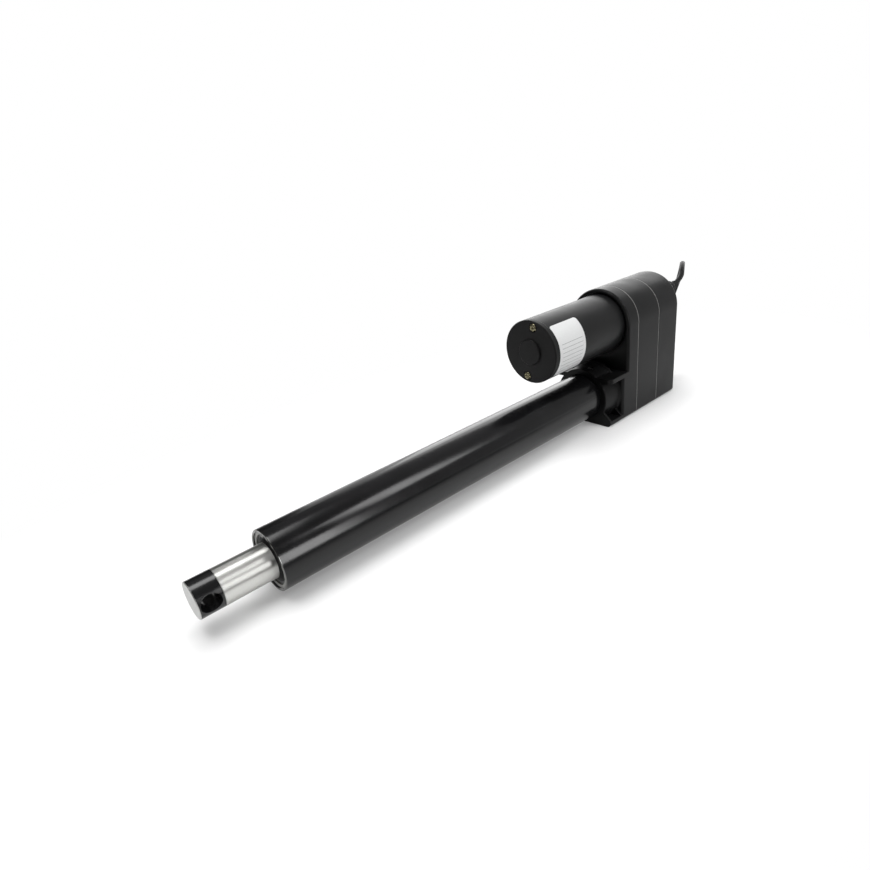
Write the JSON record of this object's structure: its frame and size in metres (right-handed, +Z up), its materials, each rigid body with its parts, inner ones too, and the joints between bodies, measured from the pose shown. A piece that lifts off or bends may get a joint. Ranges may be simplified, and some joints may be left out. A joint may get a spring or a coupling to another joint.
{
  "type": "electric linear actuator",
  "caption": "Electric linear actuator: a motor beside the tube turns a lead screw through enclosed gears and pushes a steel rod with a cross-drilled end; clevis and cable behind.",
  "frame": {"origin": "middle of the object's length and width, on the plane of the gearbox's foot", "axes": "+X along the tube from the rod end towards the gearbox, +Z up from the foot towards the motor"},
  "size_m": [0.6669, 0.1363, 0.1424],
  "materials": {
    "tube_paint": "gloss black paint",
    "housing_paint": "satin black powder coat on die-cast aluminium",
    "motor_paint": "satin black paint",
    "rod_steel": "fine brushed stainless",
    "rod_end_black": "gloss black with a bare machined end face",
    "clevis_black": "satin black",
    "screw_steel": "zinc plated",
    "bearing_steel": "ground",
    "shaft_steel": "turned and ground",
    "gear_steel": "machined",
    "clip_steel": "phosphated",
    "bolt_brass": "yellow passivated",
    "nut_bronze": "machined bronze",
    "guide_polymer": "moulded",
    "seal_rubber": "matt",
    "gasket_fibre": "matt",
    "board_green": "lacquered",
    "switch_black": "moulded",
    "magnet_ferrite": "sintered",
    "lamination": "stacked sheet",
    "copper": "enamelled wire",
    "carbon": "pressed",
    "cable_jacket": "matt black",
    "tie_nylon": "moulded",
    "lead_jacket": "insulated"
  },
  "bodies": {
    "housing": {"outer_tube": "tube_paint", "front_bush": "guide_polymer", "wiper_seal": "seal_rubber", "circlip": "clip_steel", "switch_strip": "board_green", "limit_switches": "switch_black", "front_housing": "housing_paint", "front_gasket": "gasket_fibre", "middle_housing": "housing_paint", "rear_gasket": "gasket_fibre", "rear_cover": "housing_paint", "housing_screws": "screw_steel", "rear_clevis": "clevis_black", "tube_set_screw": "screw_steel", "clevis_screws": "screw_steel", "screw_bearing_front": "bearing_steel", "screw_bearing_rear": "bearing_steel", "idler_pin": "shaft_steel", "motor_can": "motor_paint", "motor_end_cap": "housing_paint", "motor_bolts": "bolt_brass", "motor_bearing_rear": "bearing_steel", "motor_bearing_front": "bearing_steel", "motor_magnets": "magnet_ferrite", "brush_holder": "switch_black", "brushes": "carbon", "cable_boot": "seal_rubber", "cable": "cable_jacket", "cable_coil": "cable_jacket", "cable_tie": "tie_nylon", "cable_leads": "lead_jacket"},
    "rod": {"inner_tube": "rod_steel", "rod_end": "rod_end_black", "drive_nut": "nut_bronze", "guide_ring": "guide_polymer"},
    "screw": {"lead_screw": "shaft_steel", "screw_end_guide": "guide_polymer", "screw_gear": "gear_steel", "screw_lock_nut": "shaft_steel"},
    "idler": {"idler_wheel": "gear_steel", "idler_pinion": "gear_steel", "idler_bush": "nut_bronze"},
    "rotor": {"rotor_shaft": "shaft_steel", "commutator": "copper", "armature_core": "lamination", "armature_windings": "copper", "motor_pinion": "gear_steel"}
  },
  "joints": [
    {"name": "rotor_spin", "type": "hinge", "parent": "housing", "child": "rotor", "pos_m": [0, 0, 0.1025], "axis": [1, 0, 0], "range_deg": [0, 159573.7]},
    {"name": "idler_spin", "type": "hinge", "parent": "housing", "child": "idler", "pos_m": [0, 0, 0.067], "axis": [1, 0, 0], "range_deg": [-39195, 1]},
    {"name": "screw_spin", "type": "hinge", "parent": "housing", "child": "screw", "pos_m": [0, 0, 0.029], "axis": [1, 0, 0], "range_deg": [-1, 27001]},
    {"name": "rod_slide", "type": "slide", "parent": "housing", "child": "rod", "axis": [-1, 0, 0], "range_m": [0, 0.30001]}
  ],
  "couplings": [
    {"joint": "idler_spin", "follows": "rotor_spin", "ratio": -0.24561},
    {"joint": "screw_spin", "follows": "rotor_spin", "ratio": 0.1692},
    {"joint": "rod_slide", "follows": "rotor_spin", "m_per_rad": 0.00010772}
  ]
}
